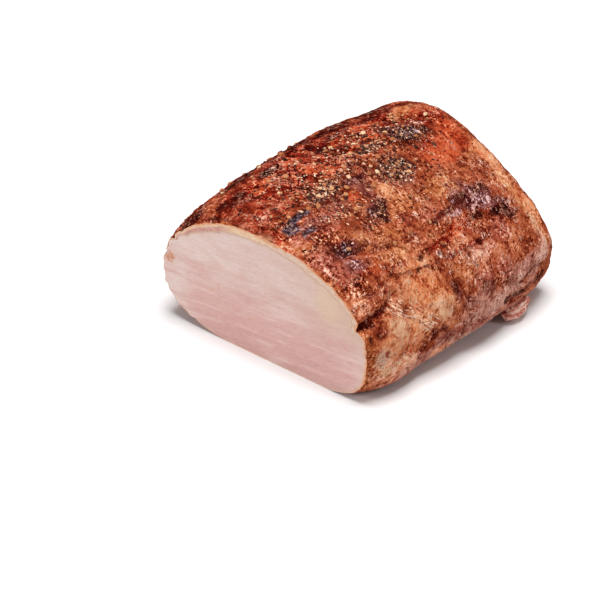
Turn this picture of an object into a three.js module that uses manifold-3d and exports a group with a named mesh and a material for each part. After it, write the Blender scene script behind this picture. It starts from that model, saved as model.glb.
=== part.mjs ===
// Boneless smoked pork loin, cut square across at one end and lying on its flat side.
// X runs across it, Y along it from the cut face to the far end, Z up. All sizes are millimetres.
import * as THREE from 'three';
import { mergeVertices } from 'three/addons/utils/BufferGeometryUtils.js';
import Module from 'manifold-3d';

// The loin's long axis lies at the height of its widest line.
const LENGTH = 138;
const AXIS_HEIGHT = 25;
const DROP = 26;

// Outline stations: distance from the cut face as a fraction of the length, then the value there.
const RISE = [[0, 37.8], [0.08, 41.8], [0.2, 44], [0.4, 48.4], [0.65, 50.3], [0.85, 50.8], [1, 51.5]];
const HALF_LEFT = [[0, 62.2], [0.1, 66.5], [0.3, 67.2], [0.6, 65.8], [0.85, 61.5], [1, 56]];
const HALF_RIGHT = [[0, 62.7], [0.1, 66], [0.25, 67], [0.6, 69.5], [0.85, 67.5], [1, 62]];
const RIDGE_SHIFT = [[0, -6], [0.5, -8.7], [1, -12]];

// How full each quarter of the outline is: 2 is an ellipse, more is squarer.
const FULL_UPPER_LEFT = [[0, 1.84], [0.15, 1.97], [0.5, 2.06], [1, 2]];
const FULL_UPPER_RIGHT = [[0, 2.35], [0.3, 1.9], [0.6, 1.6], [1, 1.47]];
const FULL_LOWER_LEFT = 2.5;
const FULL_LOWER_RIGHT = [[0, 4.2], [0.08, 5.6], [0.18, 6], [0.36, 4.6], [0.5, 3.8], [1, 3.8]];
const SIDE_BLEND = 0.35;
const RIDGE_LEAN = 1.5;

// The blunt far end: a rounded rim and a slightly bulging face.
const RIM_RADIUS = 5;
const END_BULGE = 4;
const END_CENTRE = { x: -4, z: 33 };
const CUT_CENTRE = { x: -2, z: 30 };

// Swellings and hollows of the fat and muscle. along is measured from the cut face, angle round
// the axis from the right side over the top; reach and girth are their half sizes along and round.
const SWELLINGS = [
  { along: 13, angle: 3, reach: 17, girth: 20, height: 2.6 },
  { along: 48, angle: 6, reach: 19, girth: 18, height: 1.8 },
  { along: 78, angle: -6, reach: 22, girth: 14, height: 1.4 },
  { along: 112, angle: 8, reach: 24, girth: 20, height: 1.2 },
  { along: 64, angle: 36, reach: 26, girth: 14, height: 1.3 },
  { along: 24, angle: 56, reach: 24, girth: 10, height: 0.9 },
  { along: 84, angle: 78, reach: 30, girth: 16, height: 0.9 },
  { along: 40, angle: 128, reach: 34, girth: 14, height: 1.4 },
  { along: 96, angle: 136, reach: 26, girth: 16, height: 1.3 },
  { along: 60, angle: 176, reach: 40, girth: 20, height: 1.5 },
  { along: 118, angle: 60, reach: 16, girth: 18, height: -1.2 },
  { along: 98, angle: 32, reach: 18, girth: 9, height: -1.5 },
  { along: 18, angle: 40, reach: 16, girth: 8, height: -1.6 },
];

// Creases run through points of [along, angle], each a valley as deep as it says.
const CREASE_HALF_WIDTH = 3.4;
const CREASES = [
  { path: [[0, 11.5], [7, 14], [16, 15.5], [24, 18]], depth: 2.3 },
  { path: [[27, 12], [29, 5], [26, -1], [20, -4], [12, -7]], depth: 1.3 },
  { path: [[62, 14], [66, 0], [62, -12]], depth: 1.2 },
  { path: [[6, 50], [16, 43], [28, 36], [44, 34]], depth: 1.1 },
  { path: [[86, 2], [100, -2], [116, 0], [130, -4]], depth: 1.3 },
  { path: [[10, 150], [46, 156], [88, 158], [124, 152]], depth: 1.5 },
  { path: [[30, 196], [70, 190], [112, 196]], depth: 1.3 },
];

// Low uneven lumps of the browned crust, scattered all over it, and round ones on the far end.
const LUMPS = { seed: 911, count: 150, height: 1.1, reach: [6, 13], girth: [8, 20] };
const END_LUMPS = { seed: 37, count: 50, height: 0.9, radius: [11, 20], halfWidth: 66, halfHeight: 40 };
const END_FADE = 4;

// Relief fades out towards the underside, which lies flat on the board.
const FLAT_FADE_HEIGHT = 7;
const MM_PER_DEGREE = 1.05;

// A scrap of lean that hangs from the lower right edge, its far end the higher. Its tilt is in degrees.
const SCRAP = {
  along: 105.4,
  x: 64.8,
  z: 6.2,
  halfWidth: 4.3,
  halfLength: 8.4,
  halfHeight: 4.1,
  ragged: 0.12,
  tilt: 12,
};

// Cracked pepper and seed stuck to the crust.
const PLACES_SEED = 4107;
const SHAPES_SEED = 52;
const GRAIN_SPACING = 3.4;
const GRAIN_KINDS = [
  { count: 32, size: 1.35, stretch: 1.25, flatness: 0.75 },
  { count: 42, size: 1.1, stretch: 1.35, flatness: 0.7 },
  { count: 52, size: 0.9, stretch: 1.2, flatness: 0.8 },
];
const GRAIN_SUNK = 0.35;
const GRAIN_RAGGED = 0.22;
const GRAIN_TRIES = 4000;
const SPICED_ALONG = [3, 130];
const SPICED_ROUND = [5, 165];

// Where the grains lie thickest: centre, half sizes and share.
const SPICE_DRIFTS = [
  { along: 43, angle: 77, reach: 20, girth: 17, share: 1 },
  { along: 80, angle: 73, reach: 22, girth: 16, share: 1 },
  { along: 60, angle: 96, reach: 56, girth: 26, share: 0.55 },
  { along: 100, angle: 84, reach: 34, girth: 26, share: 0.5 },
  { along: 24, angle: 88, reach: 24, girth: 34, share: 0.35 },
  { along: 60, angle: 40, reach: 62, girth: 34, share: 0.12 },
  { along: 66, angle: 140, reach: 70, girth: 34, share: 0.16 },
];

// Fineness of the faceted skin.
const SIDES = 76;
const STEPS_ALONG = 33;
const RIM_STEPS = 3;
const END_RINGS = [0.84, 0.64, 0.42, 0.2];
const CUT_RINGS = [0.55];

const CRUST_COLOUR = 0x9c4a26;

// Smooth curve through the stations: cubic pieces whose slopes are averaged from both sides.
function through(stations, t) {
  const last = stations.length - 1;
  const rate = (i) => (stations[i + 1][1] - stations[i][1]) / (stations[i + 1][0] - stations[i][0]);
  const slope = (i) => {
    if (i === 0) return rate(0);
    if (i === last) return rate(last - 1);
    const before = stations[i][0] - stations[i - 1][0];
    const after = stations[i + 1][0] - stations[i][0];
    return (rate(i - 1) * after + rate(i) * before) / (before + after);
  };
  let i = 0;
  while (i < last - 1 && t > stations[i + 1][0]) i += 1;
  const [t0, v0] = stations[i];
  const [t1, v1] = stations[i + 1];
  const span = t1 - t0;
  const u = THREE.MathUtils.clamp((t - t0) / span, 0, 1);
  const settle = u * u * (3 - 2 * u);
  const leave = u * (1 - u) * (1 - u) * span;
  const arrive = u * u * (u - 1) * span;
  return v0 + (v1 - v0) * settle + slope(i) * leave + slope(i + 1) * arrive;
}

// A bell that is 1 at 0 and fades to nothing at 1.
function bell(q) {
  return q < 1 ? (1 - q * q) ** 2 : 0;
}

// Signed turn from one angle to another, in degrees from -180 to 180.
function turn(angle, from) {
  return THREE.MathUtils.euclideanModulo(angle - from + 180, 360) - 180;
}

// Share of a patch felt at a place on the skin.
function patch(place, along, angle) {
  const u = (along - place.along) / place.reach;
  const v = (turn(angle, place.angle) * MM_PER_DEGREE) / place.girth;
  return bell(Math.hypot(u, v));
}

// Distance on the skin from a place to a crease.
function distanceToPath(path, along, angle) {
  const here = new THREE.Vector3(along, turn(angle, path[0][1]) * MM_PER_DEGREE, 0);
  const nearest = new THREE.Vector3();
  let distance = Infinity;
  for (let i = 0; i < path.length - 1; i += 1) {
    const ends = [path[i], path[i + 1]].map(
      ([a, b]) => new THREE.Vector3(a, turn(b, path[0][1]) * MM_PER_DEGREE, 0),
    );
    new THREE.Line3(...ends).closestPointToPoint(here, true, nearest);
    distance = Math.min(distance, nearest.distanceTo(here));
  }
  return distance;
}

// Seeded draws from 0 to 1, the same every time.
function seededDraws(seed) {
  let state = seed;
  return () => {
    state = (state * 48271) % 2147483647;
    return state / 2147483647;
  };
}

function scatterLumps() {
  const draw = seededDraws(LUMPS.seed);
  const between = ([low, high]) => low + draw() * (high - low);
  return Array.from({ length: LUMPS.count }, () => ({
    along: draw() * LENGTH,
    angle: draw() * 360,
    reach: between(LUMPS.reach),
    girth: between(LUMPS.girth),
    height: LUMPS.height * (2 * draw() - 1),
  }));
}

function scatterEndLumps() {
  const draw = seededDraws(END_LUMPS.seed);
  const [smallest, largest] = END_LUMPS.radius;
  return Array.from({ length: END_LUMPS.count }, () => ({
    x: END_CENTRE.x + END_LUMPS.halfWidth * (2 * draw() - 1),
    z: END_CENTRE.z + END_LUMPS.halfHeight * (2 * draw() - 1),
    radius: smallest + draw() * (largest - smallest),
    height: END_LUMPS.height * (2 * draw() - 1),
  }));
}

const SKIN_PATCHES = [...SWELLINGS, ...scatterLumps()];
const END_PATCHES = scatterEndLumps();

// Height of the relief at a place on the skin.
function relief(along, angle) {
  let height = 0;
  for (const place of SKIN_PATCHES) height += place.height * patch(place, along, angle);
  for (const crease of CREASES) {
    height -= crease.depth * bell(distanceToPath(crease.path, along, angle) / CREASE_HALF_WIDTH);
  }
  return height;
}

// Point of the bare outline, before relief, at a distance along and an angle in degrees.
function outline(along, angle) {
  const t = along / LENGTH;
  const radians = THREE.MathUtils.degToRad(angle);
  const c = Math.cos(radians);
  const s = Math.sin(radians);
  const toRight = 0.5 + 0.5 * Math.tanh(c / SIDE_BLEND);
  const across = through(c >= 0 ? HALF_RIGHT : HALF_LEFT, t);
  const rise = through(RISE, t);
  const upper = THREE.MathUtils.lerp(through(FULL_UPPER_LEFT, t), through(FULL_UPPER_RIGHT, t), toRight);
  const lower = THREE.MathUtils.lerp(FULL_LOWER_LEFT, through(FULL_LOWER_RIGHT, t), toRight);
  const fullness = s >= 0 ? upper : lower;
  const upDown = s >= 0 ? rise : DROP;
  const radius = ((Math.abs(c) / across) ** fullness + (Math.abs(s) / upDown) ** fullness) ** (-1 / fullness);
  const lean = THREE.MathUtils.clamp((radius * s) / rise, 0, 1) ** RIDGE_LEAN;
  return new THREE.Vector2(radius * c + through(RIDGE_SHIFT, t) * lean, AXIS_HEIGHT + radius * s);
}

// Point of the skin with its relief, pulled in by inset towards the far end's centre.
function skinPoint(along, angle, inset, y) {
  const point = outline(along, angle);
  const outward = new THREE.Vector2(point.x, point.y - AXIS_HEIGHT).normalize();
  const fade = THREE.MathUtils.smoothstep(point.y, 0, FLAT_FADE_HEIGHT);
  point.addScaledVector(outward, relief(along, angle) * fade);
  const centre = new THREE.Vector2(END_CENTRE.x, END_CENTRE.z);
  const inward = centre.sub(point);
  point.addScaledVector(inward, inset / inward.length());
  return new THREE.Vector3(point.x, y, Math.max(point.y, 0));
}

function ringOf(pointAt) {
  return Array.from({ length: SIDES }, (_, i) => pointAt((i * 360) / SIDES));
}

// A smaller ring inside another, a share of the way out from a centre.
function innerRing(ring, centre, share, y) {
  return ring.map((p) => new THREE.Vector3(
    THREE.MathUtils.lerp(centre.x, p.x, share), y, THREE.MathUtils.lerp(centre.z, p.z, share),
  ));
}

// Lumps of the far end at a place on it.
function endRelief(x, z) {
  return END_PATCHES.reduce(
    (sum, lump) => sum + lump.height * bell(Math.hypot(x - lump.x, z - lump.z) / lump.radius),
    0,
  );
}

// A ring on the far end, whose lumps fade out at the rim.
function endRing(lip, share) {
  const fade = Math.min(1, END_FADE * (1 - share));
  const ring = innerRing(lip, END_CENTRE, share, LENGTH + END_BULGE * (1 - share * share));
  for (const point of ring) point.y += fade * endRelief(point.x, point.z);
  return ring;
}

// All rings from the middle of the cut face, over the crust, to the middle of the far end.
function loinRings() {
  const bodyEnd = LENGTH - RIM_RADIUS;
  const rim = ringOf((angle) => skinPoint(0, angle, 0, 0));
  const rings = CUT_RINGS.map((share) => innerRing(rim, CUT_CENTRE, share, 0));
  rings.push(rim);
  for (let i = 1; i <= STEPS_ALONG; i += 1) {
    const along = (bodyEnd * i) / STEPS_ALONG;
    rings.push(ringOf((angle) => skinPoint(along, angle, 0, along)));
  }
  for (let i = 1; i <= RIM_STEPS; i += 1) {
    const bend = (i * Math.PI) / 2 / RIM_STEPS;
    const inset = RIM_RADIUS * (1 - Math.cos(bend));
    const y = bodyEnd + RIM_RADIUS * Math.sin(bend);
    rings.push(ringOf((angle) => skinPoint(bodyEnd, angle, inset, y)));
  }
  const lip = rings[rings.length - 1];
  for (const share of END_RINGS) rings.push(endRing(lip, share));
  return rings;
}

// Closed skin over the rings, with one point in the middle of each end.
function closedSkin(rings, firstPole, lastPole) {
  const points = [firstPole, ...rings.flat(), lastPole];
  const at = (ring, i) => 1 + ring * SIDES + (i % SIDES);
  const triangles = [];
  for (let i = 0; i < SIDES; i += 1) {
    triangles.push(0, at(0, i), at(0, i + 1));
    for (let ring = 0; ring < rings.length - 1; ring += 1) {
      triangles.push(at(ring, i), at(ring + 1, i), at(ring + 1, i + 1));
      triangles.push(at(ring, i), at(ring + 1, i + 1), at(ring, i + 1));
    }
    triangles.push(at(rings.length - 1, i), points.length - 1, at(rings.length - 1, i + 1));
  }
  const geometry = new THREE.BufferGeometry().setFromPoints(points);
  geometry.setIndex(triangles);
  return geometry;
}

// Outward direction of the skin at a place, from its neighbours along and round.
function skinNormal(along, angle) {
  const step = 1;
  const ahead = skinPoint(along + step, angle, 0, along + step);
  const behind = skinPoint(along - step, angle, 0, along - step);
  const up = skinPoint(along, angle + step, 0, along);
  const down = skinPoint(along, angle - step, 0, along);
  return up.sub(down).cross(ahead.sub(behind)).normalize();
}

// Places for the grains, each a little apart, thickest in the drifts of spice.
function grainPlaces() {
  const draw = seededDraws(PLACES_SEED);
  const places = [];
  const wanted = GRAIN_KINDS.reduce((sum, kind) => sum + kind.count, 0);
  for (let tries = 0; tries < GRAIN_TRIES && places.length < wanted; tries += 1) {
    const along = THREE.MathUtils.lerp(...SPICED_ALONG, draw());
    const angle = THREE.MathUtils.lerp(...SPICED_ROUND, draw());
    const share = Math.max(...SPICE_DRIFTS.map((drift) => drift.share * patch(drift, along, angle)));
    const keep = draw() < share;
    const point = skinPoint(along, angle, 0, along);
    const clear = places.every((place) => place.point.distanceTo(point) > GRAIN_SPACING);
    if (keep && clear) places.push({ point, normal: skinNormal(along, angle) });
  }
  return places;
}

// Moves each corner in or out by up to a share of its distance from the middle.
function makeRagged(geometry, share, draw) {
  const corners = geometry.getAttribute('position');
  for (let i = 0; i < corners.count; i += 1) {
    const reach = 1 - share + 2 * share * draw();
    corners.setXYZ(i, corners.getX(i) * reach, corners.getY(i) * reach, corners.getZ(i) * reach);
  }
}

// One cracked grain: a ragged stone, longer than wide, pressed a little into the crust.
function grainGeometry(kind, place, draw) {
  const geometry = positionsOnly(new THREE.IcosahedronGeometry(1, 0));
  makeRagged(geometry, GRAIN_RAGGED, draw);
  geometry.scale(kind.size * kind.stretch, kind.size, kind.size * kind.flatness);
  geometry.rotateZ(draw() * Math.PI);
  const upright = new THREE.Vector3(0, 0, 1);
  geometry.applyQuaternion(new THREE.Quaternion().setFromUnitVectors(upright, place.normal));
  const lift = kind.size * kind.flatness * (1 - 2 * GRAIN_SUNK);
  const seat = place.point.clone().addScaledVector(place.normal, lift);
  geometry.translate(seat.x, seat.y, seat.z);
  return geometry;
}

// A long rounded scrap with an uneven skin.
function scrapGeometry(draw) {
  const geometry = positionsOnly(new THREE.SphereGeometry(1, 12, 8));
  makeRagged(geometry, SCRAP.ragged, draw);
  geometry.scale(SCRAP.halfWidth, SCRAP.halfLength, SCRAP.halfHeight);
  geometry.rotateX(THREE.MathUtils.degToRad(SCRAP.tilt));
  geometry.translate(SCRAP.x, SCRAP.along, SCRAP.z);
  return geometry;
}

// The same geometry with shared corners and nothing but their positions.
function positionsOnly(geometry) {
  geometry.deleteAttribute('normal');
  geometry.deleteAttribute('uv');
  return mergeVertices(geometry);
}

const wasm = await Module();
wasm.setup();

function toSolid(geometry) {
  const closed = positionsOnly(geometry);
  return new wasm.Manifold(new wasm.Mesh({
    numProp: 3,
    vertProperties: new Float32Array(closed.getAttribute('position').array),
    triVerts: new Uint32Array(closed.getIndex().array),
  }));
}

function toGeometry(solid) {
  const { vertProperties, triVerts } = solid.getMesh();
  const geometry = new THREE.BufferGeometry();
  geometry.setAttribute('position', new THREE.BufferAttribute(vertProperties, 3));
  geometry.setIndex(new THREE.BufferAttribute(triVerts, 1));
  return geometry;
}

function loinSolid() {
  const cutMiddle = new THREE.Vector3(CUT_CENTRE.x, 0, CUT_CENTRE.z);
  const endTop = LENGTH + END_BULGE + endRelief(END_CENTRE.x, END_CENTRE.z);
  const endMiddle = new THREE.Vector3(END_CENTRE.x, endTop, END_CENTRE.z);
  let solid = toSolid(closedSkin(loinRings(), cutMiddle, endMiddle));
  const draw = seededDraws(SHAPES_SEED);
  solid = solid.add(toSolid(scrapGeometry(draw)));
  const places = grainPlaces();
  for (const kind of GRAIN_KINDS) {
    for (const place of places.splice(0, kind.count)) {
      solid = solid.add(toSolid(grainGeometry(kind, place, draw)));
    }
  }
  return solid;
}

// The loin stands on the origin, which is under the middle of its length and width.
const loin = new THREE.Mesh(
  toGeometry(loinSolid()),
  new THREE.MeshStandardMaterial({ color: CRUST_COLOUR, roughness: 0.45, metalness: 0 }),
);
loin.name = 'loin';
loin.geometry.computeVertexNormals();
loin.geometry.computeBoundingBox();
const middle = loin.geometry.boundingBox.getCenter(new THREE.Vector3());
loin.position.set(-middle.x, -middle.y, -loin.geometry.boundingBox.min.z);

const porkLoin = new THREE.Group();
porkLoin.add(loin);

export default porkLoin;
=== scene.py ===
import math
import bmesh
import bpy
import numpy as np
from mathutils import Matrix, Vector, noise


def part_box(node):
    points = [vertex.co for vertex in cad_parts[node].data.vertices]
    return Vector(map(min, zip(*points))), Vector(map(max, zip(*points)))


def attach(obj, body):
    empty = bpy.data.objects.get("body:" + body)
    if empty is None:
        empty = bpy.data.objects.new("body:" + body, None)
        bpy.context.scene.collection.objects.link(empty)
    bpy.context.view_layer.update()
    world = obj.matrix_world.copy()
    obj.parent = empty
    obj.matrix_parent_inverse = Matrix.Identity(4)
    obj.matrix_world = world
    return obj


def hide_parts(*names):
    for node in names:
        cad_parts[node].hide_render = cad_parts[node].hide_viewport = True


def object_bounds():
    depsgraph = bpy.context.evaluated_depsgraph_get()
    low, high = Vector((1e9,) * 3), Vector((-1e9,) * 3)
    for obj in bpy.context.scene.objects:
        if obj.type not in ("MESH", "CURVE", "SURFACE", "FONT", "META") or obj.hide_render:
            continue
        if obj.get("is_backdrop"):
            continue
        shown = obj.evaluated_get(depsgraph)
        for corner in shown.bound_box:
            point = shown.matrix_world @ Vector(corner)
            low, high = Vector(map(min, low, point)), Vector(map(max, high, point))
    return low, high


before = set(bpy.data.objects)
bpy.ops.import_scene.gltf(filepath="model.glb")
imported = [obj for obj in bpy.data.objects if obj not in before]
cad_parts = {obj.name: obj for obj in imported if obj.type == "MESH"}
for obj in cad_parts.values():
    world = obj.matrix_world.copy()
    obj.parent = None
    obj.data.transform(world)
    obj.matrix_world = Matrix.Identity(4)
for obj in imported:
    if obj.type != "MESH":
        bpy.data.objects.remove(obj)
cad_low, cad_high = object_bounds()
loin_low, loin_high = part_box("loin")

# The loin. A boneless pork loin muscle with its cap of fat, smoked until the outside is a browned
# glossy crust, then cut square across with a long knife. It lies on its flattened side. Sizes are
# millimetres, along is measured from the cut face and angle goes round from the right over the top.
MM = 0.001
LENGTH = 138
AXIS_HEIGHT = 25
DROP = 26
RISE = [(0, 37.8), (0.08, 41.8), (0.2, 44), (0.4, 48.4), (0.65, 50.3), (0.85, 50.8), (1, 51.5)]
HALF_LEFT = [(0, 62.2), (0.1, 66.5), (0.3, 67.2), (0.6, 65.8), (0.85, 61.5), (1, 56)]
HALF_RIGHT = [(0, 62.7), (0.1, 66), (0.25, 67), (0.6, 69.5), (0.85, 67.5), (1, 62)]
RIDGE_SHIFT = [(0, -6), (0.5, -8.7), (1, -12)]
FULL_UPPER_LEFT = [(0, 1.84), (0.15, 1.97), (0.5, 2.06), (1, 2)]
FULL_UPPER_RIGHT = [(0, 2.35), (0.3, 1.9), (0.6, 1.6), (1, 1.47)]
FULL_LOWER_LEFT = 2.5
FULL_LOWER_RIGHT = [(0, 4.2), (0.08, 5.6), (0.18, 6), (0.36, 4.6), (0.5, 3.8), (1, 3.8)]
SIDE_BLEND = 0.35
RIDGE_LEAN = 1.5
RIM_RADIUS = 5
END_BULGE = 4
END_CENTRE = (-4, 33)
END_SKIN = 50
CUT_CENTRE = (-2, 30)
MM_PER_DEGREE = 1.05
FLAT_FADE_HEIGHT = 7

# Swellings and hollows of fat and muscle: along, angle, reach along, reach round, height.
SWELLINGS = [
    (13, 3, 17, 20, 2.6), (48, 6, 19, 18, 1.8), (78, -6, 22, 14, 1.4), (112, 8, 24, 20, 1.2),
    (64, 36, 26, 14, 1.3), (24, 56, 24, 10, 0.9), (84, 78, 30, 16, 0.9), (40, 128, 34, 14, 1.4),
    (96, 136, 26, 16, 1.3), (60, 176, 40, 20, 1.5), (118, 60, 16, 18, -1.2), (98, 32, 18, 9, -1.5),
    (18, 40, 16, 8, -1.6),
]
CREASE_HALF_WIDTH = 3.4
CREASES = [
    (2.3, [(0, 11.5), (7, 14), (16, 15.5), (24, 18)]),
    (1.3, [(27, 12), (29, 5), (26, -1), (20, -4), (12, -7)]),
    (1.2, [(62, 14), (66, 0), (62, -12)]),
    (1.1, [(6, 50), (16, 43), (28, 36), (44, 34)]),
    (1.3, [(86, 2), (100, -2), (116, 0), (130, -4)]),
    (1.5, [(10, 150), (46, 156), (88, 158), (124, 152)]),
    (1.3, [(30, 196), (70, 190), (112, 196)]),
]
LUMPS = {"seed": 911, "count": 150, "height": 1.1, "reach": (6, 13), "girth": (8, 20)}
END_LUMPS = {"seed": 37, "count": 50, "height": 0.9, "radius": (11, 20), "wide": 66, "high": 40}
END_FADE = 4


def through(stations, t):
    """Smooth curve through stations of (place, value), its slopes averaged from both sides."""
    places, values = np.array(stations, float).T
    steps = np.diff(places)
    rates = np.diff(values) / steps
    middle = (rates[:-1] * steps[1:] + rates[1:] * steps[:-1]) / (steps[:-1] + steps[1:])
    slopes = np.concatenate([rates[:1], middle, rates[-1:]])
    i = np.clip(np.searchsorted(places, t, side="right") - 1, 0, len(steps) - 1)
    span = steps[i]
    u = np.clip((t - places[i]) / span, 0, 1)
    risen = (values[i + 1] - values[i]) * u * u * (3 - 2 * u)
    leaving = slopes[i] * u * (1 - u) ** 2 * span
    arriving = slopes[i + 1] * u * u * (u - 1) * span
    return values[i] + risen + leaving + arriving


def bell(q):
    return np.where(q < 1, (1 - np.minimum(q, 1) ** 2) ** 2, 0)


def turn(angle, start):
    return (angle - start + 180) % 360 - 180


def patch(along, angle, place, girth):
    """Share felt of a patch at place, (along, angle), with half sizes girth, (along, round)."""
    u = (along - place[0]) / girth[0]
    v = turn(angle, place[1]) * MM_PER_DEGREE / girth[1]
    return bell(np.hypot(u, v))


def distance_to_path(along, angle, path):
    """Distance on the skin to a line through points of (along, angle)."""
    start = path[0][1]
    spots = [np.array([a, turn(b, start) * MM_PER_DEGREE]) for a, b in path]
    here = np.stack([along, turn(angle, start) * MM_PER_DEGREE], -1)
    nearest = np.full(along.shape, 1e9)
    for one, other in zip(spots, spots[1:]):
        way = other - one
        share = np.clip((here - one) @ way / (way @ way), 0, 1)
        gap = np.linalg.norm(here - one - share[..., None] * way, axis=-1)
        nearest = np.minimum(nearest, gap)
    return nearest


def seeded_draws(seed):
    """Draws from 0 to 1, the same every time."""
    while True:
        seed = seed * 48271 % 2147483647
        yield seed / 2147483647


def scattered_lumps():
    draws = seeded_draws(LUMPS["seed"])
    lumps = []
    for _ in range(LUMPS["count"]):
        place = (next(draws) * LENGTH, next(draws) * 360)
        low, high = LUMPS["reach"]
        reach = low + next(draws) * (high - low)
        low, high = LUMPS["girth"]
        girth = low + next(draws) * (high - low)
        lumps.append((place, (reach, girth), LUMPS["height"] * (2 * next(draws) - 1)))
    return lumps


def scattered_end_lumps():
    draws = seeded_draws(END_LUMPS["seed"])
    low, high = END_LUMPS["radius"]
    lumps = []
    for _ in range(END_LUMPS["count"]):
        x = END_CENTRE[0] + END_LUMPS["wide"] * (2 * next(draws) - 1)
        z = END_CENTRE[1] + END_LUMPS["high"] * (2 * next(draws) - 1)
        radius = low + next(draws) * (high - low)
        lumps.append((x, z, radius, END_LUMPS["height"] * (2 * next(draws) - 1)))
    return lumps


SKIN_PATCHES = [((a, b), (r, g), h) for a, b, r, g, h in SWELLINGS] + scattered_lumps()
END_PATCHES = scattered_end_lumps()


def relief(along, angle):
    """Height of the muscle's and fat's relief, as in the solid."""
    height = np.zeros(along.shape)
    for place, girth, rise in SKIN_PATCHES:
        height += rise * patch(along, angle, place, girth)
    for depth, path in CREASES:
        height -= depth * bell(distance_to_path(along, angle, path) / CREASE_HALF_WIDTH)
    return height


def end_relief(x, z):
    height = np.zeros(x.shape)
    for lump_x, lump_z, radius, rise in END_PATCHES:
        height += rise * bell(np.hypot(x - lump_x, z - lump_z) / radius)
    return height


def outline(along, angle):
    """The bare section, before relief: x and z at a distance along and an angle."""
    t = along / LENGTH
    c, s = np.cos(np.radians(angle)), np.sin(np.radians(angle))
    to_right = 0.5 + 0.5 * np.tanh(c / SIDE_BLEND)
    across = np.where(c >= 0, through(HALF_RIGHT, t), through(HALF_LEFT, t))
    rise = through(RISE, t)
    upper_left, upper_right = through(FULL_UPPER_LEFT, t), through(FULL_UPPER_RIGHT, t)
    upper = upper_left + (upper_right - upper_left) * to_right
    lower = FULL_LOWER_LEFT + (through(FULL_LOWER_RIGHT, t) - FULL_LOWER_LEFT) * to_right
    fullness = np.where(s >= 0, upper, lower)
    up_down = np.where(s >= 0, rise, DROP)
    radius = ((abs(c) / across) ** fullness + (abs(s) / up_down) ** fullness) ** (-1 / fullness)
    lean = np.clip(radius * s / rise, 0, 1) ** RIDGE_LEAN
    return radius * c + through(RIDGE_SHIFT, t) * lean, AXIS_HEIGHT + radius * s


# The skin is a net of rings: over the cut face, along the crust, round the rim and over the far
# end. The underside lies on the board and needs fewer columns than what shows.
SHOWN_COLUMNS = 322
UNDER_COLUMNS = 50
SHOWN_FROM, SHOWN_TO = -38, 218
CUT_RINGS = 26
STEPS_ALONG = 168
RIM_STEPS = 8
END_RINGS = 22

shown = np.linspace(SHOWN_FROM, SHOWN_TO, SHOWN_COLUMNS, endpoint=False)
under = np.linspace(SHOWN_TO, SHOWN_FROM + 360, UNDER_COLUMNS, endpoint=False)
columns = np.concatenate([shown, under])
body_end = LENGTH - RIM_RADIUS
stations = np.linspace(0, body_end, STEPS_ALONG + 1)
bends = np.linspace(0, math.pi / 2, RIM_STEPS + 1)[1:]
end_shares = np.linspace(1, 0, END_RINGS + 1)[1:-1]
cut_shares = np.linspace(0, 1, CUT_RINGS + 1)[1:-1]


def ring_points(along, inset, y):
    """Rings of the crust at stations along, pulled in by inset, each at its own y."""
    along, angle = np.meshgrid(along, columns, indexing="ij")
    x, z = outline(along, angle)
    fade = np.clip(z / FLAT_FADE_HEIGHT, 0, 1)
    fade = fade * fade * (3 - 2 * fade)
    out_x, out_z = x, z - AXIS_HEIGHT
    length = np.hypot(out_x, out_z)
    height = relief(along, angle) * fade
    x, z = x + out_x / length * height, z + out_z / length * height
    in_x, in_z = END_CENTRE[0] - x, END_CENTRE[1] - z
    length = np.hypot(in_x, in_z)
    x, z = x + in_x / length * inset[:, None], z + in_z / length * inset[:, None]
    return np.stack([x, np.broadcast_to(y[:, None], x.shape), np.maximum(z, 0)], -1)


crust_rings = ring_points(stations, np.zeros(len(stations)), stations)
rim_rings = ring_points(
    np.full(RIM_STEPS, body_end),
    RIM_RADIUS * (1 - np.cos(bends)),
    body_end + RIM_RADIUS * np.sin(bends),
)
lip = rim_rings[-1]
end_middle = np.array([END_CENTRE[0], LENGTH, END_CENTRE[1]])
end_rings = end_middle + (lip - end_middle) * end_shares[:, None, None]
end_fade = np.minimum(1, END_FADE * (1 - end_shares))[:, None]
end_rings[..., 1] = LENGTH + END_BULGE * (1 - end_shares[:, None] ** 2)
end_rings[..., 1] += end_fade * end_relief(end_rings[..., 0], end_rings[..., 2])
crust_net = np.concatenate([crust_rings, rim_rings, end_rings])
net_along = np.concatenate([
    stations, body_end + RIM_RADIUS * bends, LENGTH + RIM_RADIUS + END_SKIN * (1 - end_shares),
])
net_along, net_angle = np.meshgrid(net_along, columns, indexing="ij")
frame_shift = np.array([loin_low.x / MM - crust_net[..., 0].min(), loin_low.y / MM, 0])


def net_normals(net):
    """Outward directions of the crust's net of rings."""
    along = np.gradient(net, axis=0)
    round_loin = np.roll(net, -1, 1) - np.roll(net, 1, 1)
    normals = np.cross(along, round_loin)
    return normals / np.maximum(np.linalg.norm(normals, axis=-1, keepdims=True), 1e-9)


def uneven(points, size, octaves=3):
    """Fractal noise from about -1 to 1, in lumps of the given size in mm along x, y and z."""
    places = (points / np.array(size)).reshape(-1, 3).tolist()
    heights = [noise.fractal(place, 1.0, 2.1, octaves) for place in places]
    return np.array(heights).reshape(points.shape[:-1])


def patches(places, along=net_along, angle=net_angle):
    """The strongest share felt of several patches of (along, angle, reach, girth, strength)."""
    felt = [s * patch(along, angle, (a, b), (r, g)) for a, b, r, g, s in places]
    return np.max(felt, axis=0)


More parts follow.
